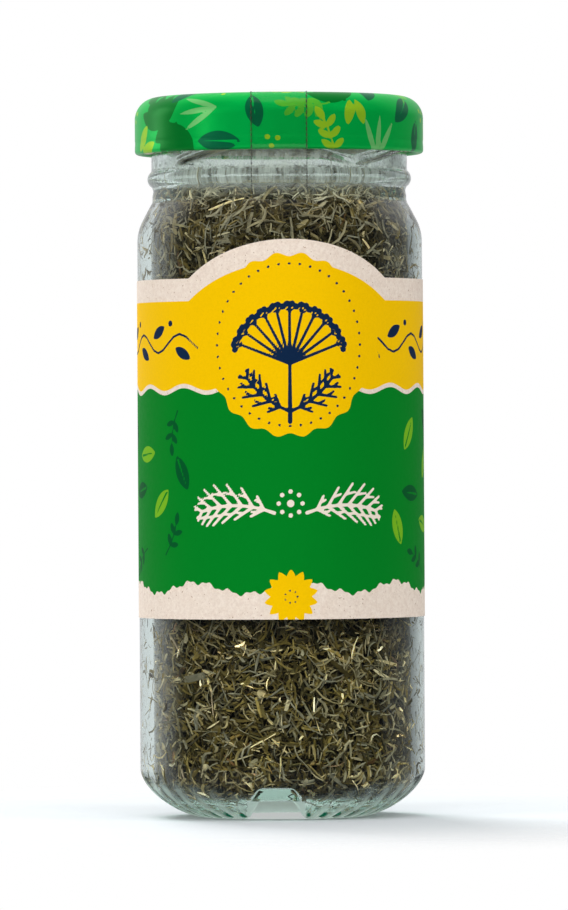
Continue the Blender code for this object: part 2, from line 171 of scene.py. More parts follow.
def positions(target):
    """The places of a mesh's points."""
    flat = np.zeros(len(target.data.vertices) * 3)
    target.data.vertices.foreach_get("co", flat)
    return flat.reshape(-1, 3)


def at_turn(radius, turn, height):
    """Points at a distance from the axis, a turn in radians and a height."""
    return np.stack(np.broadcast_arrays(radius * np.sin(turn), -radius * np.cos(turn), height), -1)


def grid_faces(rows, columns, around):
    """The quads of a grid of points, numbered row by row. around joins the last column to the first."""
    row = np.arange(rows - 1)[:, None]
    column = np.arange(columns if around else columns - 1)[None, :]
    after = (column + 1) % columns
    corners = (row * columns + column, row * columns + after)
    corners += ((row + 1) * columns + after, (row + 1) * columns + column)
    return np.stack([np.broadcast_to(c, corners[0].shape) for c in corners], -1).reshape(-1, 4)


def turned(name, profile, count, place=None, sharp=40):
    """A closed body turned about +Z from a profile whose two ends lie on the axis."""
    rings = np.array(profile[1:-1])
    turns = np.linspace(0, 2 * math.pi, count, endpoint=False)
    points = at_turn(rings[:, :1], turns, rings[:, 1:])
    if place:
        points = place(points, turns)
    points = points.reshape(-1, 3)
    last = len(points)
    poles = [(0, 0, profile[0][1]), (0, 0, profile[-1][1])]
    faces = grid_faces(len(rings), count, True).tolist()
    top = (len(rings) - 1) * count
    for k in range(count):
        after = (k + 1) % count
        faces.append((last, after, k))
        faces.append((last + 1, top + k, top + after))
    return mesh_object(name, np.vstack([points, poles]), faces, sharp)


def store(target, name, values):
    """Keeps one number for each point of a mesh, which its material reads by name."""
    made = target.data.attributes.new(name, "FLOAT", "POINT")
    made.data.foreach_set("value", np.asarray(values, np.float32))


# Materials

class Nodes:
    """A small helper that adds shader nodes to a new material or world and links them."""

    def __init__(self, made):
        self.made = made
        made.use_nodes = True
        self.tree = made.node_tree
        self.shader = self.tree.nodes.get("Principled BSDF")
        self.output = self.tree.nodes.get("Material Output") or self.tree.nodes["World Output"]

    def put(self, socket, value):
        """Sets a socket to a number or colour, or links it to another socket. None leaves it as it is."""
        if isinstance(value, bpy.types.NodeSocket):
            self.tree.links.new(value, socket)
        elif value is not None:
            socket.default_value = (*value, 1.0) if socket.type == "RGBA" else value

    def add(self, kind, *inputs, output=0, **settings):
        """One output of a new node, which gets its settings and then its inputs in their order."""
        node = self.tree.nodes.new("ShaderNode" + kind)
        for key, value in settings.items():
            setattr(node, key, value)
        for socket, value in zip(node.inputs, inputs):
            self.put(socket, value)
        return node.outputs[output]

    def noise(self, scale, detail=3.0, rough=0.5, stretch=None):
        where = self.add("TexCoord", output="Object")
        if stretch:
            where = self.add("Mapping", where, None, None, stretch)
        return self.add("TexNoise", where, None, scale, detail, rough, output="Fac")

    def spread(self, value, low, high, to_low=0.0, to_high=1.0, smooth=False):
        """A value from low to high turned into one from to_low to to_high."""
        way = "SMOOTHSTEP" if smooth else "LINEAR"
        return self.add("MapRange", value, low, high, to_low, to_high, interpolation_type=way)

    def math(self, operation, first, second):
        return self.add("Math", first, second, operation=operation)

    def mix(self, factor, first, second, blend="MIX"):
        unused = [None] * 5
        return self.add("Mix", factor, *unused, first, second, output=2, data_type="RGBA", blend_type=blend)

    def shaded(self, colour, shade):
        """A colour made lighter or darker by a number."""
        return self.mix(1.0, colour, self.mix(1.0, shade, shade), "MULTIPLY")

    def blend(self, share, first, second):
        """Two shaders mixed: the first alone at 0, the second alone at 1."""
        return self.add("MixShader", share, first, second)

    def surface(self, shader):
        self.put(self.output.inputs["Surface"], shader)

    def attribute(self, name, output="Fac"):
        return self.add("Attribute", output=output, attribute_name=name)

    def ink(self, below, name, colour):
        """Prints a colour over below, where the stored distance of that name is under 0, in millimetres."""
        return self.mix(self.spread(self.attribute(name), -0.03, 0.03, 1.0, 0.0, smooth=True), below, colour)

    def bump(self, height, distance, strength=1.0):
        lean = self.add("Bump", strength, distance, None, height, output="Normal")
        self.put(self.shader.inputs["Normal"], lean)

    def set(self, **values):
        names = {
            "colour": "Base Color", "roughness": "Roughness", "metallic": "Metallic", "ior": "IOR",
            "glass": "Transmission Weight", "coat": "Coat Weight", "coat_roughness": "Coat Roughness",
            "sheen": "Sheen Weight", "through": "Subsurface Weight", "gloss": "Specular IOR Level",
        }
        for key, value in values.items():
            self.put(self.shader.inputs[names[key]], value)


def material(name):
    return Nodes(bpy.data.materials.new(name))


def glass_material():
    """Clear soda glass, faintly green where it is thick. Lamps reach what is inside it.

    It is scuffed under the foot and on the heel, with green patches between the ribs, and has a film of dust
    inside the neck.
    """
    n = material("jar_glass")
    heel_green = n.attribute("heel_green")
    tinge = n.spread(n.math("ADD", heel_green, n.noise(260.0, detail=2.0)), 0.86, 1.04)
    n.set(colour=n.mix(tinge, (0.985, 0.995, 0.99), srgb(0, 92, 58)), ior=1.52, glass=1.0)
    under = n.attribute("under")
    n.set(roughness=n.spread(under, 0.0, 1.0, 0.0, 0.4))
    green = n.math("MAXIMUM", n.attribute("deep_green"), heel_green)
    patch = n.spread(n.math("ADD", green, n.noise(420.0, detail=2.0)), 1.0, 1.25)
    aqua = n.mix(patch, srgb(234, 248, 243), srgb(0, 92, 62))
    frost = n.blend(0.35, n.add("BsdfTranslucent", aqua), n.add("BsdfDiffuse", aqua))
    facing = n.add("LayerWeight", output="Facing")
    edge = n.math("MULTIPLY", n.attribute("heel_edge"), n.spread(facing, 0.3, 0.8))
    scuffed = n.math("MAXIMUM", n.math("MULTIPLY", under, 0.75), edge)
    threads = n.noise(800.0, detail=5.0, rough=0.8, stretch=(1.0, 1.0, 0.6))
    film = n.math("MULTIPLY", n.attribute("dust"), n.spread(threads, 0.38, 0.58, 0.06, 0.85))
    glass = n.blend(scuffed, n.shader.outputs[0], frost)
    glass = n.blend(film, glass, n.add("BsdfDiffuse", srgb(240, 244, 238)))
    shadow = n.add("LightPath", output="Is Shadow Ray")
    n.surface(n.blend(shadow, glass, n.add("BsdfTransparent", (0.955, 0.96, 0.95))))
    n.put(n.output.inputs["Volume"], n.add("VolumeAbsorption", (0.2, 0.8, 0.62), 28.0))
    n.bump(n.noise(60.0, detail=2.0), 0.00002, 0.35)
    return n.made


def dill_material():
    """Dried herb: the colour of each bit with its painted light and shade, mottled along it, with fine
    ridges.
    """
    n = material("dried_herb")
    tint_and_shade = n.attribute("tint_and_shade", "Color")
    mottle = n.spread(n.noise(900.0, detail=3.0), 0.25, 0.75, 0.62, 1.3)
    n.set(colour=n.shaded(tint_and_shade, mottle), roughness=0.72, sheen=0.12)
    n.bump(n.noise(2600.0, detail=2.0), 0.00006, 0.6)
    return n.made


def clouded(name, cloud, grain, first, second, bump, **looks):
    """A material of two like colours in clouds, with a grain. cloud and grain are noises."""
    n = material(name)
    n.set(colour=n.mix(n.noise(*cloud), srgb(*first), srgb(*second)), **looks)
    n.bump(n.noise(*grain), *bump)
    return n.made


def core_shade_material():
    """The herb deep in the jar, coloured near black as painted shade; it is only seen as dark gaps."""
    noises = (700.0, 5.0, 0.7), (1200.0, 4.0)
    return clouded("dried_herb_deep_shade", *noises, (9, 7, 3), (24, 20, 11), (0.0005, 1.0), roughness=0.95)


LID_GREEN = srgb(0, 182, 76)
LEAF_COLOURS = {
    "ink_deep": srgb(0, 118, 40),
    "ink_teal": srgb(8, 104, 64),
    "ink_mid": srgb(88, 186, 52),
    "ink_lime": srgb(150, 200, 38),
    "ink_pale": srgb(112, 196, 112),
}


def lid_material():
    """Green leaf print on tinplate, under clear lacquer."""
    n = material("lid_print")
    cloud = n.noise(90.0, detail=2.0)
    colour = n.mix(n.spread(cloud, 0.3, 0.7), LID_GREEN, srgb(0, 174, 70))
    for name, ink in LEAF_COLOURS.items():
        colour = n.ink(colour, name, ink)
    scuff = n.spread(n.noise(900.0, detail=4.0, rough=0.7), 0.3, 0.8, 0.29, 0.35)
    n.set(colour=colour, roughness=scuff, metallic=0.36, coat=0.03, coat_roughness=0.1, gloss=0.05)
    n.bump(n.noise(1400.0, detail=2.0), 0.000008, 0.3)
    return n.made


def enamel_material():
    """The pale gold lacquer on the inside of the lid."""
    colours = (214, 200, 160), (226, 214, 178)
    return clouded("lid_inside", (300.0,), (2500.0,), *colours, (0.00001, 0.3), roughness=0.35, metallic=0.7)


def liner_material():
    """The soft sealing ring."""
    colours = (206, 208, 202), (224, 226, 220)
    return clouded("liner", (900.0,), (3000.0,), *colours, (0.00003, 0.4), roughness=0.55, through=0.05)


LABEL_INKS = {
    "ink_green": srgb(0, 131, 36),
    "ink_yellow": srgb(255, 202, 0),
    "ink_cream": srgb(248, 234, 218),
    "ink_lime": srgb(122, 184, 34),
    "ink_deep": srgb(0, 88, 40),
    "ink_navy": srgb(16, 40, 72),
}


def label_material():
    """Uncoated cream paper with fibres and specks, printed in a few flat colours."""
    n = material("label_paper")
    fibre = n.noise(1300.0, detail=4.0, rough=0.75)
    paper = n.mix(n.spread(fibre, 0.35, 0.65), srgb(238, 219, 202), srgb(250, 235, 220))
    speck = n.noise(3000.0, detail=1.0)
    colour = n.mix(n.spread(speck, 0.72, 0.75), paper, srgb(186, 152, 124))
    for name, ink in LABEL_INKS.items():
        colour = n.ink(colour, name, ink)
    grain = n.spread(n.noise(2600.0, detail=3.0, rough=0.7), 0.2, 0.8, 0.94, 1.04)
    n.set(colour=n.shaded(colour, grain), roughness=n.spread(fibre, 0.3, 0.7, 0.5, 0.62), gloss=0.05)
    n.bump(fibre, 0.00003, 0.5)
    return n.made


def strip_material():
    """Thin clear film: it shows by its gloss, and by its two cut edges."""
    n = material("clear_film")
    share = n.math("MULTIPLY", n.attribute("edge"), n.spread(n.attribute("dots"), -0.2, 0.2, 0.35, 1.0))
    n.set(colour=srgb(70, 68, 58), roughness=0.35)
    film = n.blend(0.02, n.add("BsdfTransparent", (0.985, 0.985, 0.98)), n.add("BsdfGlossy", None, 0.08))
    n.surface(n.blend(share, film, n.shader.outputs[0]))
    return n.made


def dress(target, looks, node):
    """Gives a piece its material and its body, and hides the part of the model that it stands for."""
    target.data.materials.append(looks)
    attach(target, "root")
    if node:
        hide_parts(node)


# The glass

def notch_lift(x, y):
    """How high the notch in the foot lifts the glass at a place."""
    share = (NOTCH_HALF_FOOT - np.abs(x - NOTCH_MIDDLE)) / (NOTCH_HALF_FOOT - NOTCH_HALF_TOP)
    share = np.clip(share, 0, 1)
    return NOTCH_HEIGHT * share * share * (3 - 2 * share) * (y < 0)


def higher(first, second):
    """The larger of two heights, with a rounded change-over where both are above 0."""
    soft = 0.25 * MM
    blend = np.clip(0.5 + 0.5 * (first - second) / soft, 0, 1)
    return second * (1 - blend) + first * blend + soft * blend * (1 - blend) * (second > soft)


def outside_profile():
    """The outside of the glass, from the middle of the punt to the top of the rim, and where the heel is."""
    shares = np.concatenate([np.linspace(0, 0.75, 12), np.linspace(0.79, 0.985, 12)])
    path = [(RING_INNER * share, PUNT_DEPTH * (1 - share**7)) for share in shares]
    path += [(RING_INNER, 0.0), ((RING_INNER + FOOT_RADIUS) / 2, 0.0), (FOOT_RADIUS, 0.0)]
    heel_start = len(path)
    for degrees in np.linspace(4, 90, 34):
        across = math.sin(math.radians(degrees)) ** (2 / HEEL_POWER)
        up = 1 - math.cos(math.radians(degrees)) ** (2 / HEEL_POWER)
        path.append((FOOT_RADIUS + (JAR_RADIUS - FOOT_RADIUS) * across, HEEL_HEIGHT * up))
    heel_end = len(path)
    path += spaced([(JAR_RADIUS, HEEL_HEIGHT), (JAR_RADIUS, SHOULDER_FOOT)], 3.5 * MM)[1:]
    path += arc((JAR_RADIUS - SHOULDER_ROUND, SHOULDER_FOOT), SHOULDER_ROUND, 0, 29, 14)[1:]
    path += spots(0, 0, [(21.25, 97.9), (20.72, 98.85)])
    path += arc((22.6 * MM, 99.75 * MM), 2.1 * MM, 203, 172, 6)
    path += spots(0, 0, [(20.42, 100.6), (20.36, 101.0)])
    path += arc(BEAD_CENTRE, BEAD_ROUND, -58, 50, 16)
    path += [(20.68 * MM, 104.25 * MM)]
    neck_start = len(path)
    path += spaced([(NECK_RADIUS, 104.5 * MM), (NECK_RADIUS, JAR_HEIGHT - 0.9 * MM)], 0.16 * MM)
    neck_end = len(path)
    path += arc((NECK_RADIUS - 0.9 * MM, JAR_HEIGHT - 0.9 * MM), 0.9 * MM, 10, 90, 7)
    return path, (heel_start, heel_end), (neck_start, neck_end)


def inner_radius(height):
    """The radius of the hollow at a height above the heel."""
    share = np.clip((INNER_SHOULDER_TOP - height) / (INNER_SHOULDER_TOP - SHOULDER_FOOT), 0, 1)
    return MOUTH_RADIUS + (JAR_RADIUS - WALL - MOUTH_RADIUS) * np.sin(share * math.pi / 2) ** 1.2


def floor_height(radius):
    """The height of the hollow's floor at a radius."""
    share = np.clip(1 - (radius / FLOOR_EDGE) ** 2, 0, 1)
    return FLOOR_AT_HEEL + (FLOOR_AT_MIDDLE - FLOOR_AT_HEEL) * share**1.2


def inside_profile():
    """The hollow, from the rim down to the middle of the floor."""
    path = arc((MOUTH_RADIUS + 0.7 * MM, JAR_HEIGHT - 0.7 * MM), 0.7 * MM, 90, 180, 6)[1:]
    path += [(MOUTH_RADIUS, z * MM) for z in (110, 107, 104, 102)]
    heights = np.linspace(INNER_SHOULDER_TOP, SHOULDER_FOOT, 26)
    path += [(float(inner_radius(z)), float(z)) for z in heights]
    foot = FLOOR_AT_HEEL + INNER_HEEL_ROUND
    path += spaced([(JAR_RADIUS - WALL, SHOULDER_FOOT), (JAR_RADIUS - WALL, foot)], 3.5 * MM)[1:]
    path += arc((FLOOR_EDGE, foot), INNER_HEEL_ROUND, 0, -90, 20)[1:]
    path += [(float(r), float(floor_height(r))) for r in np.linspace(0.94, 0, 16) * FLOOR_EDGE]
    return path


def thread_ridge(turns, heights):
    """How far the screw thread stands out of the neck at a turn in degrees and a height."""
    ridge = np.zeros(np.broadcast(turns, heights).shape)
    for number in range(THREADS):
        start = THREAD_FOOT_TURN + number * 360 / THREADS
        along = (turns - start) % 360
        inside = np.clip(np.minimum(along, THREAD_TURN - along) / 9, 0, 1)
        centre = THREAD_FOOT + THREAD_RISE * along
        ridge += 0.8 * MM * np.sin(inside * math.pi / 2) * np.exp(-(((heights - centre) / (0.62 * MM)) ** 4))
    return ridge


def jar_glass():
    """The jar, turned from its profile, with ribs on the heel, the notch and the thread."""
    outside, heel, neck = outside_profile()
    inside = inside_profile()
    first_inside = len(outside) - 1

    def place(points, turns):
        radius = np.hypot(points[..., 0], points[..., 1])
        lift = notch_lift(points[..., 0], points[..., 1])
        first, last = heel[0] - 3, heel[1]
        rows = slice(first - 1, last - 1)
        normals = np.array(offset(outside, 1.0))[first:last] - np.array(outside)[first:last]
        share = np.linspace(0, 1, last - first)[:, None]
        window = np.clip((0.75 - share) / 0.45, 0, 1) * np.clip(share / 0.03, 0, 1)
        groove = (0.5 - 0.5 * np.cos(turns * KNURLS)) ** 1.5 * window * (1 - lift[rows] / NOTCH_HEIGHT)
        groove = -groove * KNURL_DEPTH
        points[rows] += at_turn(groove * normals[:, :1], turns, groove * normals[:, 1:])
        rows = slice(neck[0] - 1, neck[1] - 1)
        ridge = thread_ridge(np.degrees(turns)[None, :], points[rows, :, 2])
        points[rows, :, :2] *= (1 + ridge / radius[rows])[..., None]
        base = slice(0, heel[1] - 1)
        points[base, :, 2] = higher(np.maximum(points[base, :, 2], 0), lift[base])
        hollow = slice(first_inside, None)
        under = np.where(lift[hollow] > 0, lift[hollow] + NOTCH_GLASS, 0)
        points[hollow, :, 2] = higher(points[hollow, :, 2], under)
        return points

    jar = turned("jar_glass", outside + inside, JAR_SIDES, place, sharp=60)
    x, y, z = positions(jar).T
    number = np.arange(len(x))
    row = number // JAR_SIDES
    radius = np.hypot(x, y)
    pole = number == len(x) - 2
    outer = (row < heel[1]) | pole
    cut = notch_lift(x, y) > 0.05 * MM
    beneath = (row < heel[0] - 1) | pole | (cut & (z < NOTCH_HEIGHT + 0.1 * MM))
    ribs = 0.5 - 0.5 * np.cos(np.arctan2(x, -y) * KNURLS)
    scuffed = 0.7 * np.clip((SCUFFED_TO - radius) / (3.5 * MM), 0, 1) * (1 - 0.85 * ribs)
    store(jar, "under", outer * np.where(beneath, 1.0, scuffed))
    frosted = 0.75 * np.clip((FROSTED_TO - radius) / (1.2 * MM), 0, 1) * (1 - 0.8 * ribs)
    store(jar, "heel_edge", outer * frosted)

    def ring(middle, wide):
        return ribs * np.exp(-(((radius - middle) / wide) ** 2))

    store(jar, "deep_green", ring(FOOT_RADIUS, 1.3 * MM) * (outer & ~cut))
    store(jar, "heel_green", ring(FOOT_RADIUS + 1.6 * MM, 1.7 * MM) * (outer & ~cut & ~beneath))
    inner = (row >= first_inside) & (radius < 20.0 * MM) & (z > 90 * MM)
    film = np.clip((z - FILM_FOOT) / (3 * MM), 0, 1) * np.clip((FILM_TOP - z) / (2 * MM), 0, 1)
    film *= 0.35 + 0.65 * np.clip((z - FILM_THICKENS) / (0.8 * MM), 0, 1)
    store(jar, "dust", film * inner)
    return jar


# The dried dill

PALETTE = [
    (0.30, (112, 104, 66)),
    (0.20, (92, 86, 56)),
    (0.14, (134, 124, 82)),
    (0.12, (78, 76, 50)),
    (0.09, (150, 140, 96)),
    (0.06, (58, 54, 34)),
    (0.035, (178, 166, 118)),
    (0.02, (118, 116, 100)),
    (0.022, (222, 216, 190)),
    (0.012, (112, 86, 56)),
    (0.010, (178, 156, 92)),
]
WARMTH = np.array([1.0, 0.82, 0.48])
LIGHT_SPREAD = 0.74
# How far behind the glass the painted shade on the bits reaches, and the painted shade on bits above the
# label.
SHADED_DEPTH = 0.54 * MM
UPPER_SHADE = 0.48
BIT_LENGTH, BIT_WIDTH = 2.1, 0.36
BROAD_SHARE, STALK_SHARE = 0.05, 0.03


def keep_inside(points, margin):
    """Moves points that would lie in the glass back into the hollow."""
    radius = np.hypot(points[:, 0], points[:, 1])
    height = points[:, 2]
    foot = FLOOR_AT_HEEL + INNER_HEEL_ROUND
    reach = np.hypot(np.maximum(radius - FLOOR_EDGE, 0), np.maximum(foot - height, 0))
    margin = np.broadcast_to(margin, radius.shape)
    limit = INNER_HEEL_ROUND - margin
    corner = (reach > limit) & (radius > FLOOR_EDGE) & (height < foot)
    shrink = np.where(corner, limit / np.maximum(reach, 1e-9), 1)
    new_radius = np.where(corner, FLOOR_EDGE + (radius - FLOOR_EDGE) * shrink, radius)
    height = np.where(corner, foot - (foot - height) * shrink, height)
    wall = inner_radius(height) - margin
    new_radius = np.minimum(new_radius, wall)
    lift = notch_lift(points[:, 0], points[:, 1])
    floor = np.maximum(floor_height(new_radius), np.where(lift > 0, lift + NOTCH_GLASS + 0.2 * MM, 0))
    height = np.maximum(height, floor + margin)
    share = new_radius / np.maximum(radius, 1e-9)
    return np.stack([points[:, 0] * share, points[:, 1] * share, height], 1)


def wall_spots():
    """Points along the hollow's profile from the floor to the neck, with the direction there."""
    path = [p for p in inside_profile()[::-1] if p[1] < 112 * MM]
    path = np.array(spaced(path, 0.4 * MM))
    way = np.gradient(path, axis=0)
    way /= np.linalg.norm(way, axis=1)[:, None]
    return path, way


def bits(name, centre, along, outward, length, width, height, bend, roll, taper, tint_and_shade, touch):
    """Chopped bits as one mesh: each a bent prism with three sides and three stretches."""
    side = np.cross(outward, along)
    curl = np.cos(roll)[:, None] * side + np.sin(roll)[:, None] * outward
    stretches = 3
    rings = []
    spin = np.stack([np.cos(roll * 1.7), np.sin(roll * 1.7)], 1)
    for i in range(stretches + 1):
        at = (i / stretches - 0.5) * length
        middle = centre + along * at[:, None] + curl * (bend * (at**2) / length)[:, None]
        middle = keep_inside(middle, np.where(touch, -0.02, 0.22) * MM)
        thin = 1 - (1 - taper) * abs(2 * i / stretches - 1) ** 2
        one = (side * spin[:, :1] + outward * spin[:, 1:]) * (width * thin / 2)[:, None]
        two = (outward * spin[:, :1] - side * spin[:, 1:]) * (height * thin)[:, None]
        rings += [middle + one, middle - one, middle + two]
    corners = 3 * (stretches + 1)
    points = np.stack(rings, 1).reshape(-1, 3)
    points = keep_inside(points, np.repeat(np.where(touch, -0.12, 0.04), corners) * MM)
    pattern = []
    for i in range(stretches):
        for k in range(3):
            a, b = 3 * i + k, 3 * i + (k + 1) % 3
            pattern += [(a, b, b + 3), (a, b + 3, a + 3)]
    pattern += [(2, 1, 0), (corners - 3, corners - 2, corners - 1)]
    faces = (np.arange(len(centre))[:, None, None] * corners + np.array(pattern)[None]).reshape(-1, 3)
    made = mesh_object(name, points, faces, sharp=75)
    colours = made.data.attributes.new("tint_and_shade", "FLOAT_COLOR", "POINT")
    shade = np.repeat(np.concatenate([tint_and_shade, np.ones((len(tint_and_shade), 1))], 1), corners, axis=0)
    colours.data.foreach_set("color", shade.astype(np.float32).ravel())
    return made


def tints(draw, count):
    """A colour for each bit, from the palette, each a little lighter or darker."""
    weights = np.array([share for share, _ in PALETTE])
    choice = draw.choice(len(PALETTE), count, p=weights / weights.sum())
    colours = np.array([srgb(*colour) for _, colour in PALETTE])[choice] * WARMTH
    light = np.exp(draw.normal(0, LIGHT_SPREAD, (count, 1)))
    faded = np.clip(0.3 * (light - 0.9), 0, 0.4)
    grey = colours.mean(1, keepdims=True)
    return (colours * (1 - faded) + grey * faded) * light


def wall_bits(name, draw, count, low, high, deep, turn_middle=0.0, turn_half=180.0, dusty=0.0):
    """Bits that lie against the glass, between two heights, and down to some depth behind it, with painted
    light and shade by that depth.

    dusty is how pale they are with the dust of the herb: such bits are finer and all cling to the glass.
    """
    path, way = wall_spots()
    weight = path[:, 0] * ((path[:, 1] >= low) & (path[:, 1] <= high)) + 1e-12
    row = draw.choice(len(path), count, p=weight / weight.sum())
    turn = np.radians(turn_middle + draw.uniform(-turn_half, turn_half, count))
    around = np.stack([np.cos(turn), np.sin(turn), 0 * turn], 1)
    radial = at_turn(1.0, turn, 0.0)
    up = radial * way[row, :1] + np.array([0, 0, 1]) * way[row, 1:]
    outward = np.cross(around, up)
    spot = radial * path[row, :1] + np.array([0, 0, 1]) * path[row, 1:]
    depth = abs(draw.normal(0, deep, count)).clip(0, 3.0 * MM)
    slant = draw.uniform(-math.pi, math.pi, count)
    dip = draw.normal(0, 0.16, count)
    along = around * np.sin(slant)[:, None] + up * np.cos(slant)[:, None]
    along = along * np.cos(dip)[:, None] + outward * np.sin(dip)[:, None]
    # Painted light and shade: bits at the glass are made up to twice as light and deeper bits darker,
    # standing in for the shade deep in the herb; bits above the label's top get darker painted shade still.
    shade = 2.0 * np.exp(-((depth / SHADED_DEPTH) ** 1.2)) + 0.02
    shade *= np.where(path[row, 1] > LABEL_TOP, UPPER_SHADE, 1.0)
    cling = np.where(depth < 0.3 * MM, 1.0 if dusty else 0.25, 0.0)
    return lay_bits(name, draw, spot - outward * depth[:, None], along, outward, shade, cling, dusty)


def lay_bits(name, draw, centre, along, outward, shade=1.0, cling=0.0, dusty=0.0):
    """Draws the sizes and colours of bits whose places are known: stalks, crumbs and a few broad leaves."""
    count = len(centre)
    length = np.exp(draw.normal(math.log(BIT_LENGTH), 0.42, count)).clip(0.6, 5.5) * MM
    width = np.exp(draw.normal(math.log(BIT_WIDTH), 0.32, count)).clip(0.15, 0.8) * MM
    height = width * draw.uniform(0.4, 0.85, count)
    # Each bit's colour takes the painted light and shade given in shade.
    tint_and_shade = tints(draw, count) * np.reshape(shade, (-1, 1))
    powder = 0.8 * np.clip((centre[:, 2] - DUST_FOOT) / (4 * MM), 0, 1)[:, None]
    powder = powder * draw.uniform(0.1, 1.0, (count, 1))
    if dusty:
        width *= 0.75
        powder = np.maximum(powder, dusty * draw.uniform(0.5, 1.0, (count, 1)))
    dust = srgb(236, 226, 196) if dusty else srgb(212, 206, 184)
    tint_and_shade = tint_and_shade * (1 - powder) + powder * np.array(dust)
    broad = draw.random(count) < BROAD_SHARE
    stalk = draw.random(count) < STALK_SHARE
    width *= np.where(broad, 2.3, 1.0) * np.where(stalk, 1.3, 1.0)
    height *= np.where(broad, 0.45, 1.0)
    length *= np.where(broad, 1.2, 1.0) * np.where(stalk, 2.0, 1.0)
    outward = outward - along * np.sum(outward * along, 1)[:, None]
    outward /= np.linalg.norm(outward, axis=1)[:, None]
    bend = draw.normal(0, 0.6, count)
    roll = draw.uniform(-math.pi, math.pi, count)
    taper = draw.uniform(0.35, 0.95, count)
    touch = draw.random(count) < cling
    return bits(name, centre, along, outward, length, width, height, bend, roll, taper, tint_and_shade, touch)


def heap_bits(name, draw, count):
    """Bits that lie on the top of the heap, inside the neck."""
    radius = MOUTH_RADIUS * np.sqrt(draw.random(count)) * 0.985
    turn = draw.uniform(-math.pi, math.pi, count)
    height = DILL_TOP + 0.7 * MM - 1.1 * MM * (radius / MOUTH_RADIUS) ** 2 + draw.normal(0, 0.45 * MM, count)
    centre = at_turn(radius, turn, height)
    slant = draw.uniform(-math.pi, math.pi, count)
    dip = draw.normal(0.0, 0.3, count)
    along = np.stack([np.cos(slant) * np.cos(dip), np.sin(slant) * np.cos(dip), np.sin(dip)], 1)
    outward = np.tile([0.0, 0.0, 1.0], (count, 1))
    return lay_bits(name, draw, centre, along, outward)


def dill_core():
    """The inside of the filling, a rough body behind the bits, which its material paints near black as shade.
    """
    depth = 1.7 * MM
    path, _ = wall_spots()
    inner = offset([tuple(p) for p in path[::3]], -depth)
    inner = [(max(r, 0.3 * MM), z) for r, z in inner]
    inner = [(0.0, inner[0][1])] + inner[1:]
    inner = [p for p in inner if p[1] < DILL_TOP - 1.0 * MM]
    inner += [(MOUTH_RADIUS * 0.9, DILL_TOP - 0.6 * MM), (MOUTH_RADIUS * 0.5, DILL_TOP - 0.1 * MM)]
    inner.append((0.0, DILL_TOP))
    draw = np.random.default_rng(3)

    def place(points, turns):
        shake = draw.normal(0, 0.012, points.shape[:2])
        points[..., :2] *= (1 + shake)[..., None]
        lift = notch_lift(points[..., 0], points[..., 1])
        floor = np.where(lift > 0, lift + NOTCH_GLASS + 1.2 * MM, 0)
        points[..., 2] = np.maximum(points[..., 2], floor)
        return points

    return turned("dill_core", inner, 120, place, sharp=180)


# The lid

FAR = 99.0
LID_ROUND = 3.6 * MM
LID_SHEET = 0.35 * MM
PANEL_RADIUS = 15.5 * MM
PANEL_DROP = 0.4 * MM
HEM = 1.15 * MM
LID_SIDES = 420
LID_PRINT_RADIUS = 21.9
LUG_ROOT = 22.5 * MM


def lid_profile():
    """The section of the lid in three parts: the outside, the rolled hem and the inside."""
    panel, hem = LID_TOP - PANEL_DROP, LID_RADIUS - HEM
    corner = (LID_RADIUS - LID_ROUND, LID_TOP - LID_ROUND)
    outside = [(0.0, panel), (PANEL_RADIUS - 0.3 * MM, panel)]
    outside += arc((PANEL_RADIUS - 0.3 * MM, panel - 0.3 * MM), 0.3 * MM, 80, 20, 4)
    groove = [(0.5, -0.84), (0.8, -0.9), (1.15, -0.9), (1.4, -0.82), (1.85, -0.18), (2.1, -0.03), (2.4, 0.0)]
    outside += spots(PANEL_RADIUS, LID_TOP, groove)
    outside += arc(corner, LID_ROUND, 90, 0, 22)
    skirt = [(0.0, 2.3), (-0.02, 2.1), (-0.04, 1.9), (-0.04, 1.7), (-0.02, 1.45), (0.0, 1.2)]
    outside += spots(LID_RADIUS, LID_FOOT, skirt)
    inside = spots(hem, LID_FOOT, [(0.0, 1.4)])
    inside += spots(LID_RADIUS - LID_SHEET, LID_FOOT, [(-0.1, 1.75), (0.0, 2.2)])
    inside += arc(corner, LID_ROUND - LID_SHEET, 0, 90, 10)
    inside += spots(PANEL_RADIUS, LID_TOP - LID_SHEET, [(2.1, 0.0), (1.35, -0.9), (0.7, -0.9), (0.0, -0.4)])
    inside.append((0.0, panel - LID_SHEET))
    return spaced(outside, 0.4 * MM), arc((hem + HEM / 2, LID_FOOT + HEM / 2), HEM / 2, 0, -180, 14), inside


def leaf(u, v, centre, angle, length, width):
    """Signed distance to an almond leaf, in the unit of u and v."""
    du, dv = u - centre[0], v - centre[1]
    x = du * math.cos(angle) + dv * math.sin(angle)
    y = -du * math.sin(angle) + dv * math.cos(angle)
    half, fat = length / 2, width / 2
    radius = (half**2 + fat**2) / (2 * fat)
    return np.maximum(np.hypot(x, y - (radius - fat)), np.hypot(x, y + (radius - fat))) - radius


def stroke(u, v, start, end, thick, thin=None):
    """Signed distance to a line with round ends, which may grow thinner."""
    thin = thick if thin is None else thin
    du, dv = end[0] - start[0], end[1] - start[1]
    share = np.clip(((u - start[0]) * du + (v - start[1]) * dv) / (du * du + dv * dv + 1e-12), 0, 1)
    away = np.hypot(u - start[0] - du * share, v - start[1] - dv * share)
    return away - (thick + (thin - thick) * share) / 2


def polar(centre, angle, distance):
    return centre[0] + math.cos(angle) * distance, centre[1] + math.sin(angle) * distance


def union(shapes):
    """The signed distance to several shapes together."""
    return reduce(np.minimum, shapes)


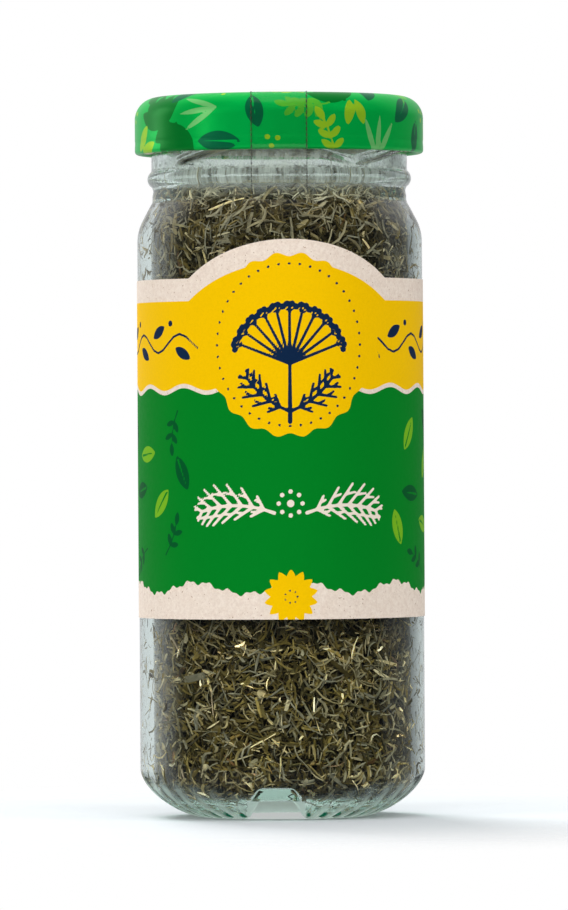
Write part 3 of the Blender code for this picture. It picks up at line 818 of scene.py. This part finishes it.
def sprig(u, v, foot, angle, size, bend, pairs=3):
    """A bent stem with paired leaves and one at its tip."""
    found = []
    here, way = foot, angle
    for i in range(pairs + 1):
        ahead = polar(here, way, size / (pairs + 1))
        found.append(stroke(u, v, here, ahead, 0.05 * size, 0.04 * size))
        for lean in (way - 0.85, way + 0.85) if i < pairs else ():
            found.append(leaf(u, v, polar(ahead, lean, 0.17 * size), lean, 0.34 * size, 0.15 * size))
        here, way = ahead, way + bend / (pairs + 1)
    return union(found + [leaf(u, v, polar(here, way, 0.1 * size), way, 0.36 * size, 0.17 * size)])


def motif(kind, u, v, spot, angle, size):
    """One leaf of the lid's print: the name of its ink, and the distance to it."""
    foot = polar(spot, angle, -0.5 * size)
    if kind == "sprig_lime":
        return "ink_lime", sprig(u, v, foot, angle, size, 0.5)
    if kind == "sprig_mid":
        return "ink_mid", sprig(u, v, foot, angle, size, -0.6, 4)
    if kind == "broad":
        vein = (polar(spot, angle, -0.4 * size), polar(spot, angle, 0.34 * size))
        vein = stroke(u, v, *vein, 0.07 * size, 0.02)
        return "ink_teal", np.maximum(leaf(u, v, spot, angle, size, 0.46 * size), -vein)
    if kind == "twin":
        halves = [(polar(spot, angle + side * 1.57, 0.2 * size), angle + side * 0.22) for side in (1, -1)]
        return "ink_lime", union(leaf(u, v, *half, 0.9 * size, 0.34 * size) for half in halves)
    if kind == "dots":
        return "ink_lime", union(
            np.hypot(u - spot[0] - 0.9 * math.cos(a), v - spot[1] - 0.9 * math.sin(a)) - 0.42
            for a in (0.4, 2.5, 4.6)
        )
    name, leans, shrink, fat = {
        "fan": ("ink_deep", (-0.78, -0.4, 0.0, 0.4, 0.78), 0.22, 0.36),
        "blades": ("ink_pale", (-0.42, 0.0, 0.42), 0.0, 0.13),
    }[kind]
    return name, union(
        leaf(u, v, polar(foot, angle + a, 0.5 * size), angle + a, size * (1 - shrink * abs(a)), fat * size)
        for a in leans
    )


def lid_motifs(u, v, where):
    """The leaf print in one flat layout: a dictionary of distances, one for each ink."""
    inks = {name: np.full(np.shape(u), FAR) for name in LEAF_COLOURS}
    for kind, spot, angle, size in where:
        near = np.hypot(u - spot[0], v - spot[1]) < 1.6 * size
        if near.any():
            name, values = motif(kind, u[near], v[near], spot, angle, size)
            inks[name][near] = np.minimum(inks[name][near], values)
    return inks


def lid_layout(draw, width, rows, top):
    """Places for motifs over a flat field, in rows that are shifted against each other."""
    kinds = ["sprig_lime", "fan", "blades", "broad", "sprig_mid", "twin", "fan", "broad", "dots"]
    where = []
    across = 16
    for row in range(rows):
        for k in range(across):
            u = (k + 0.5 * (row % 2) + draw.uniform(-0.12, 0.12)) * width / across - width / 2
            v = top - 4.9 * row + draw.uniform(-0.7, 0.7)
            kind = kinds[(k + 4 * row + (k // 5)) % len(kinds)]
            size = {"dots": 3.0, "broad": 6.6, "twin": 5.6, "blades": 7.4, "fan": 7.0}.get(kind, 7.6)
            where.append((kind, (u, v), draw.uniform(-math.pi, math.pi), size * draw.uniform(0.85, 1.1)))
    return where


def twist_lid():
    """The lid with its print. The distances to the printed shapes are kept on its points."""
    outside, hem, inside = lid_profile()
    profile = outside + hem + inside
    lid = turned("lid_shell", profile, LID_SIDES, sharp=50)
    points = positions(lid) / MM
    radius = np.hypot(points[:, 0], points[:, 1])
    turn = np.arctan2(points[:, 0], -points[:, 1])
    outer_rows = len(outside) + len(hem) - 1
    path = np.array((outside + hem)[: outer_rows + 1]) / MM
    walked = np.concatenate([[0], np.cumsum(np.hypot(*np.diff(path, axis=0).T))])
    row = np.minimum(np.arange(len(points)) // LID_SIDES + 1, outer_rows)
    down = walked[row] - (PANEL_RADIUS / MM + 2.4)
    draw = np.random.default_rng(14)
    width = 2 * math.pi * LID_PRINT_RADIUS
    skirt = []
    for kind, (u, v), angle, size in lid_layout(draw, width, 3, -2.2):
        skirt += [(kind, (u + shift * width, v), angle, size) for shift in (-1, 0, 1)]
    inks = lid_motifs(turn * LID_PRINT_RADIUS, -down, skirt)
    crown = []
    for ring, many in ((0.0, 1), (6.2, 6), (12.4, 12)):
        for k in range(many):
            a = 2 * math.pi * k / many + draw.uniform(-0.15, 0.15)
            kind = ("sprig_lime", "broad", "blades", "twin", "dots", "sprig_mid")[(k + int(ring)) % 6]
            size = {"dots": 3.0}.get(kind, 6.4)
            spot = (ring * math.cos(a), ring * math.sin(a))
            crown.append((kind, spot, draw.uniform(-math.pi, math.pi), size))
    on_top = lid_motifs(points[:, 0], points[:, 1], crown)
    is_top = radius < PANEL_RADIUS / MM + 1.0
    for name in inks:
        values = np.where(is_top & (row < outer_rows), on_top[name], inks[name])
        values = np.where(row >= outer_rows, FAR, values)
        store(lid, name, np.clip(values, -2, 2))
    lid.data.materials.append(lid_material())
    dress(lid, enamel_material(), "twist_lid")
    first_inner = (outer_rows - 1) * LID_SIDES
    side = np.zeros(len(lid.data.polygons), np.int32)
    for face in lid.data.polygons:
        if min(face.vertices) >= first_inner and max(face.vertices) != len(points) - 2:
            side[face.index] = 1
    lid.data.polygons.foreach_set("material_index", side)
    for number in range(THREADS):
        lid_lug(number)
    return lid


def lid_lug(number):
    """One of the tongues that hook under the thread."""
    steps = np.linspace(-1, 1, 15)[:, None]
    turns = np.radians(THREAD_FOOT_TURN + 48 + number * 360 / THREADS + 10 * steps)
    reach = (21.05 + 0.3 * steps**4) * MM
    root = 0 * reach + LUG_ROOT
    heights = LID_FOOT + np.array([0.4, 0.62, 0.85, 0.95, 0.35]) * MM
    points = at_turn(np.hstack([reach, reach - 0.08 * MM, reach, root, root]), turns, heights).reshape(-1, 3)
    last = len(points) - 5
    faces = grid_faces(len(steps), 5, True).tolist() + [(4, 3, 2, 1, 0), list(range(last, last + 5))]
    lug = mesh_object(f"lid_lug_{number}", points, faces, sharp=40)
    dress(lug, bpy.data.materials["lid_inside"], None)


# The label

def label_edge(u):
    """The height of the label's upper edge over its foot, in millimetres, at a distance along it."""
    top, rise, half = (LABEL_TOP - LABEL_FOOT) / MM, LABEL_RISE / MM, LABEL_ARCH_HALF / MM
    radius = (half**2 + rise**2) / (2 * rise)
    curve = top + rise - radius + np.sqrt(np.maximum(radius**2 - u**2, 0))
    return np.where(np.abs(u) < half, curve, top)


def frond(u, v, foot, angle, size, bend, steps=7):
    """A feathery leaf: a bent rib with fine forked threads on both sides."""
    found = []
    here, way = foot, angle
    for i in range(steps):
        ahead = polar(here, way, size / steps)
        found.append(stroke(u, v, here, ahead, 0.6, 0.45))
        reach = size * 0.36 * math.sin(math.pi * (i + 1.5) / (steps + 1.5))
        for side in (-1, 1):
            lean = way + side * 0.8
            fork = polar(ahead, lean, 0.5 * reach)
            found.append(stroke(u, v, ahead, polar(ahead, lean, reach), 0.5, 0.4))
            found.append(stroke(u, v, fork, polar(fork, lean - side * 0.7, 0.4 * reach), 0.42, 0.36))
        here, way = ahead, way + bend / steps
    return union(found)


def umbel(u, v, foot, size, rays, spread):
    """A flower head seen from the side, with a dot for each flower."""
    found = []
    for angle in np.linspace(math.pi / 2 - spread, math.pi / 2 + spread, rays):
        tip = polar(foot, angle, size)
        found.append(stroke(u, v, foot, tip, 0.52, 0.44))
        for small in np.linspace(-0.9, 0.9, 4):
            seed = polar(tip, angle + small, 0.17 * size)
            found += [stroke(u, v, tip, seed, 0.26), np.hypot(u - seed[0], v - seed[1]) - 0.5]
    return union(found)


def oval(u, v, centre, half_u, half_v):
    """About the signed distance to an oval."""
    x, y = (u - centre[0]) / half_u, (v - centre[1]) / half_v
    reach = np.hypot(x, y)
    steep = np.hypot(x / half_u, y / half_v)
    return (reach - 1) * reach / np.maximum(steep, 1e-6)


def dotted(u, v, centre, half_u, half_v, count, size):
    """A ring of dots."""
    found = []
    for angle in 2 * math.pi * np.arange(count) / count:
        spot = (centre[0] + half_u * math.cos(angle), centre[1] + half_v * math.sin(angle))
        found.append(np.hypot(u - spot[0], v - spot[1]) - size / 2)
    return union(found)


def daisy(u, v, centre, petals, length, width):
    """A plain flower with narrow petals."""
    found = [np.hypot(u - centre[0], v - centre[1]) - 0.42 * length]
    for angle in 2 * math.pi * (np.arange(petals) + 0.5) / petals:
        found.append(leaf(u, v, polar(centre, angle, 0.55 * length), angle, length, width))
    return union(found)


def scattered(draw, width, low, high, gap, clear_half):
    """Places over a strip that keep their distance from each other and from its middle."""
    kept = []
    for _ in range(1200):
        spot = (draw.uniform(-width / 2, width / 2), draw.uniform(low, high))
        if abs(spot[0]) > clear_half and all(math.hypot(spot[0] - a, spot[1] - b) > gap for a, b in kept):
            kept.append(spot)
    return kept


def label_inks(u, v):
    """The label's print: distances for each ink, in millimetres from the middle of its foot edge."""
    inks = {name: [] for name in LABEL_INKS}
    edge = label_edge(u)
    middle, half_u, half_v = (0.0, 43.6), 13.4, 14.4
    angle = np.arctan2((v - middle[1]) / half_v, (u - middle[0]) / half_u)
    plaque = oval(u, v, middle, half_u, half_v) + 0.35 * np.cos(20 * angle)
    wave = 37.0 + 0.55 * np.cos(u * 2 * math.pi / 9.2)
    ripple = 5.0 + 0.9 * np.sin(0.35 * u + 1) + 0.3 * np.sin(1.7 * u) + 0.16 * np.sin(4.1 * u)
    sun = (0.0, 3.6)
    inks["ink_yellow"] = [np.maximum(wave - v, v - (edge - 3.6)), plaque, daisy(u, v, sun, 14, 4.2, 1.7)]
    inks["ink_green"] = [np.maximum(ripple - v, v - (wave - 0.7))]
    draw = np.random.default_rng(5)
    for k, spot in enumerate(scattered(draw, 132, 9.0, 32.5, 6.4, 18.5)):
        lean = draw.uniform(-math.pi, math.pi)
        if k % 3 == 2:
            shape = sprig(u, v, polar(spot, lean, -2.8), lean, 6.0, 0.5, 2)
        else:
            vein = stroke(u, v, polar(spot, lean, -2.3), polar(spot, lean, 1.9), 0.4, 0.2)
            shape = np.maximum(leaf(u, v, spot, lean, 6.0, 2.6), -vein)
        inks[("ink_lime", "ink_deep", "ink_deep")[k % 3]].append(shape)
    inks["ink_cream"] = [dotted(u, v, (0.0, 18.4), 1.9, 1.9, 8, 0.75), np.hypot(u, v - 18.4) - 0.6]
    for side in (-1, 1):
        way = math.pi / 2 - side * 1.25
        inks["ink_cream"].append(frond(u, v, (2.6 * side, 16.9), way, 12.5, -0.7 * side))
    vine = []
    for start in np.arange(-66, 66, 11.0):
        for i in range(8):
            steps = (start + i * 11 / 8, start + (i + 1) * 11 / 8)
            ends = [(x, 44.0 + 1.5 * math.sin(x * 2 * math.pi / 11)) for x in steps]
            vine.append(stroke(u, v, *ends, 0.38))
        vine.append(leaf(u, v, (start + 3.4, 42.4), -0.5, 3.8, 1.7))
        vine.append(leaf(u, v, (start + 8.4, 45.8), 0.5, 3.8, 1.7))
        vine.append(np.hypot(u - start - 0.6, v - 47.2) - 0.5)
    inks["ink_navy"] = [
        np.maximum(union(vine), 2.2 - plaque),
        dotted(u, v, middle, half_u - 1.5, half_v - 1.5, 44, 0.5),
        umbel(u, v, (0.0, 40.6), 8.2, 11, 1.2),
        stroke(u, v, (0.0, 31.4), (0.0, 40.6), 0.75, 0.5),
        frond(u, v, (0.0, 33.0), 0.42, 8.8, 0.6, 5),
        frond(u, v, (0.0, 33.0), math.pi - 0.42, 8.8, -0.6, 5),
        dotted(u, v, sun, 1.0, 1.0, 7, 0.42),
    ]
    return {name: union(shapes) for name, shapes in inks.items()}


def label_sheet():
    """The label as a thin strip of paper, fine enough for its print to have sharp edges."""
    inner, outer = JAR_RADIUS + 0.02 * MM, JAR_RADIUS + 0.12 * MM
    columns, rows = 470, 200
    turns = np.linspace(-LABEL_HALF_TURN, LABEL_HALF_TURN, columns)
    u = np.radians(turns) * outer / MM
    share = np.linspace(0, 1, rows)[:, None]
    high = label_edge(u)[None, :] * MM * share + LABEL_FOOT
    angle = np.radians(turns + LABEL_OFF_FRONT)
    front = at_turn(outer, angle, high).reshape(-1, 3)
    back = at_turn(inner, angle, high[[0, -1]]).reshape(-1, 3)
    points = np.vstack([front, back])
    faces = grid_faces(rows, columns, False).tolist()
    low, top = len(front), len(front) + columns
    last = (rows - 1) * columns
    for k in range(columns - 1):
        faces.append((low + k + 1, low + k, top + k, top + k + 1))
        faces.append((low + k, low + k + 1, k + 1, k))
        faces.append((top + k + 1, top + k, last + k, last + k + 1))
    end = [low] + [row * columns for row in range(rows)] + [top]
    faces += [end, [corner + columns - 1 for corner in end[::-1]]]
    label = mesh_object("label_sheet", points, faces, sharp=40)
    flat_u = np.broadcast_to(u[None, :], (rows, columns)).ravel()
    flat_v = ((high - LABEL_FOOT) / MM).ravel()
    for name, values in label_inks(flat_u, flat_v).items():
        store(label, name, np.concatenate([np.clip(values, -2, 2), np.full(2 * columns, 2.0)]))
    dress(label, label_material(), "paper_label")


# The seal strip

STRIP_WIDTH = 9.0 * MM
STRIP_START = 11.0 * MM
STRIP_FOOT = 100.2 * MM


def seal_strip():
    """The clear strip from the lid's top down to the neck, close to what it is stuck on."""
    near, thick = 0.06 * MM, 0.07 * MM
    panel = LID_TOP - PANEL_DROP + near
    path = [(STRIP_START, panel)] + spots(PANEL_RADIUS, panel, [(-0.2, 0.0), (0.7, -0.12)])
    path += [(PANEL_RADIUS + 1.5 * MM, LID_TOP - 0.3 * MM), (PANEL_RADIUS + 2.4 * MM, LID_TOP + near)]
    path += arc((LID_RADIUS - LID_ROUND, LID_TOP - LID_ROUND), LID_ROUND + near, 90, 0, 16)
    path += [(LID_RADIUS + near, LID_FOOT + 0.6 * MM)]
    path += arc(BEAD_CENTRE, BEAD_ROUND + near, -20, -55, 6)
    path += [(UNDER_BEAD_RADIUS + 0.24 * MM, 100.9 * MM), (UNDER_BEAD_RADIUS + 0.12 * MM, STRIP_FOOT)]
    path = spaced(path, 0.35 * MM)
    outer = offset(path, -thick)
    shares = np.concatenate([np.linspace(-1, -0.93, 4), np.linspace(-0.8, 0.8, 13), np.linspace(0.93, 1, 4)])
    columns = len(shares)
    radius, height = np.array(outer + path[::-1]).T[..., None]
    across = STRIP_WIDTH / 2 * shares
    points = np.stack(np.broadcast_arrays(across, -np.sqrt(radius**2 - across**2), height), -1).reshape(-1, 3)
    rows = len(radius)
    faces = grid_faces(rows, columns, False).tolist()
    faces += [((rows - 1) * columns + k, (rows - 1) * columns + k + 1, k + 1, k) for k in range(columns - 1)]
    for i in range(len(path) - 1):
        quad = [row * columns for row in (i, i + 1, rows - 2 - i, rows - 1 - i)]
        faces += [quad, [corner + columns - 1 for corner in quad[::-1]]]
    strip = mesh_object("seal_film", points, faces, sharp=50)
    store(strip, "edge", np.tile(np.clip((abs(shares) - 0.95) / 0.05, 0, None), rows))
    store(strip, "dots", np.sin(points[:, 2] / MM * 2 * math.pi / 0.9))
    dress(strip, strip_material(), "seal_strip")


# The stage, the light and the camera

TABLE_RADIUS = 0.15
CAMERA_PLACE = (0.0005, -1.23, 0.0583)
CAMERA_ROLL = 0.35
LENS = 301.0
LAMPS_AIM = Vector((0, 0, 0.06))
SKY_DARKNESS = 0.97


def sky():
    """White to the eye, but dark in front and on the right, so that glass and lid have contrast."""
    n = Nodes(bpy.data.worlds.new("studio"))
    way = n.add("TexCoord", output="Generated")
    x, y, z = [n.add("SeparateXYZ", way, output=axis) for axis in range(3)]

    def band(*ramps):
        return n.math("MULTIPLY", *[n.spread(*ramp, smooth=True) for ramp in ramps])

    front = band((y, -0.05, 0.5, 1.0, 0.0), (z, 0.8, 0.98, 1.0, 0.0))
    right = band((x, 0.15, 0.8, 0.0, 0.75), (z, 0.06, 0.36, 1.0, 0.0))
    above = n.spread(z, -0.2, -0.08, smooth=True)
    dark = n.math("MULTIPLY", above, n.math("MAXIMUM", front, right))
    bright = band((z, 0.0, 0.9, 0.7, 0.8), (x, -1.0, 1.0, 1.05, 0.9))
    light = n.math("MULTIPLY", bright, n.math("SUBTRACT", 1.0, n.math("MULTIPLY", dark, SKY_DARKNESS)))
    back = n.tree.nodes["Background"]
    n.put(back.inputs["Color"], (0.96, 0.98, 1.0))
    n.put(back.inputs["Strength"], light)
    seen = n.add("LightPath", output="Is Camera Ray")
    n.surface(n.blend(seen, back.outputs[0], n.add("Background", WHITE)))
    bpy.context.scene.world = n.made


def table():
    """A round pale table, partly lit from within, which fades into the white around it. Under the jar it
    glows, a painted glow that lights the jar's foot from below, and in mirror images it is painted dark.
    """
    sides = 96
    points = at_turn(TABLE_RADIUS, np.linspace(0, 2 * math.pi, sides, endpoint=False), 0.0)
    made = mesh_object("table", points, [list(range(sides))])
    n = material("table_top")
    straight, mirrored = [n.add("LightPath", output=ray) for ray in ("Is Camera Ray", "Is Glossy Ray")]
    pale = n.mix(n.noise(40.0), srgb(203, 208, 211), srgb(207, 212, 215))
    n.set(colour=n.mix(mirrored, pale, srgb(84, 88, 90)), roughness=0.9)
    away = n.add("VectorMath", n.add("TexCoord", output="Object"), output="Value", operation="LENGTH")

    def by_distance(*ends):
        return n.spread(away, *ends, smooth=True)

    # Painted light: the table glows under the notch, and under the whole foot for all but camera rays, so
    # that it is seen through the glass; reflections see it dark and unlit.
    through_notch = by_distance(0.0105, 0.0135, 0.4, 0.0)
    through_glass = by_distance(0.0155, 0.021, 0.95, 0.0)
    bent = n.math("MULTIPLY", through_glass, n.math("SUBTRACT", 1.0, straight))
    share = n.math("MAXIMUM", by_distance(0.02, 0.08, 0.04, 0.3), n.math("MAXIMUM", through_notch, bent))
    share = n.math("MULTIPLY", share, n.math("SUBTRACT", 1.0, mirrored))
    lit = n.blend(share, n.shader.outputs[0], n.add("Emission", WHITE))
    n.surface(n.blend(by_distance(0.045, 0.125), lit, n.add("BsdfTransparent", WHITE)))
    made.data.materials.append(n.made)


def studio():
    """The table, soft lamps and the camera where the photograph has it."""
    table()
    sky()
    lamp("key", (-0.81, -0.59, 0.58), (0.45, 0.75), 5.6)
    lamp("fill", (0.85, -0.5, 0.8), (0.5, 0.5), 4.9)
    lamp("front", (0.05, -0.75, 1.05), (0.8, 0.4), 7.3)
    lamp("back", (-0.25, 0.6, 0.75), (0.35, 0.35), 9.0)
    camera = bpy.data.cameras.new("camera")
    camera.sensor_width = 36.0
    camera.lens = LENS
    camera.clip_end = 20.0
    made = placed("camera", camera)
    made.location = CAMERA_PLACE
    made.rotation_euler = (math.pi / 2, math.radians(CAMERA_ROLL), 0.0)
    bpy.context.scene.camera = made
    bpy.context.scene.view_settings.view_transform = "Standard"
    bpy.context.scene.cycles.transparent_max_bounces = 24


def lamp(name, place, size, power):
    """A rectangular soft lamp that faces the middle of the jar and leaves no mirror image in its glass."""
    light = bpy.data.lights.new(name, "AREA")
    light.shape = "RECTANGLE"
    light.size, light.size_y = size
    light.energy = power
    made = placed(name, light)
    made.location = place
    made.rotation_euler = (LAMPS_AIM - Vector(place)).to_track_quat("-Z", "Y").to_euler()
    made.visible_glossy = False
    made.visible_transmission = False
    return made


def lamp_for(target, name, place, size, power, gloss):
    """A lamp for one piece alone."""
    only = bpy.data.collections.new(name + "_only")
    only.objects.link(target)
    made = lamp(name, place, size, power)
    made.visible_glossy = gloss
    made.light_linking.receiver_collection = only


def main():
    studio()
    jar = jar_glass()
    dress(jar, glass_material(), "glass_jar")
    dress(dill_core(), core_shade_material(), "dried_dill")
    draw = np.random.default_rng(17)
    low, high, deep = LABEL_FOOT + 2.5 * MM, LABEL_TOP - 2.5 * MM, 0.85 * MM
    groups = [wall_bits(f"dill_lower_{k}", draw, 8800, 0.0, low, deep) for k in (1, 2, 3)]
    groups += [wall_bits(f"dill_upper_{k}", draw, 8000, high, DILL_TOP, deep) for k in (1, 2)]
    groups += [
        wall_bits("dill_behind_label", draw, 2600, low, high, 0.5 * MM),
        wall_bits("dill_label_gap", draw, 4500, low, high, deep, 180 + LABEL_OFF_FRONT, 19.0),
        heap_bits("dill_heap", draw, 4500),
        wall_bits("dill_cling_lower", draw, 2300, 0.0, low, 0.1 * MM, dusty=0.48),
        wall_bits("dill_cling_upper", draw, 1300, high, 100.0 * MM, 0.1 * MM, dusty=0.42),
        wall_bits("dill_dust", draw, 360, DUST_FOOT, 101.9 * MM, 0.03 * MM, dusty=1.0),
    ]
    herb = dill_material()
    for group in groups:
        dress(group, herb, None)
    lid = twist_lid()
    lamp_for(lid, "lid_near", (-0.88, -0.47, 0.28), (0.2, 0.5), 0.75, True)
    lamp_for(lid, "lid_far", (-0.85, 0.35, 0.3), (0.25, 0.5), 1.0, True)
    lamp_for(jar, "glass_low", (0.15, -1.0, 0.09), (0.7, 0.3), 6.0, False)
    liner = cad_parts["lid_liner"]
    liner.data.materials.clear()
    liner.data.materials.append(liner_material())
    label_sheet()
    seal_strip()


main()
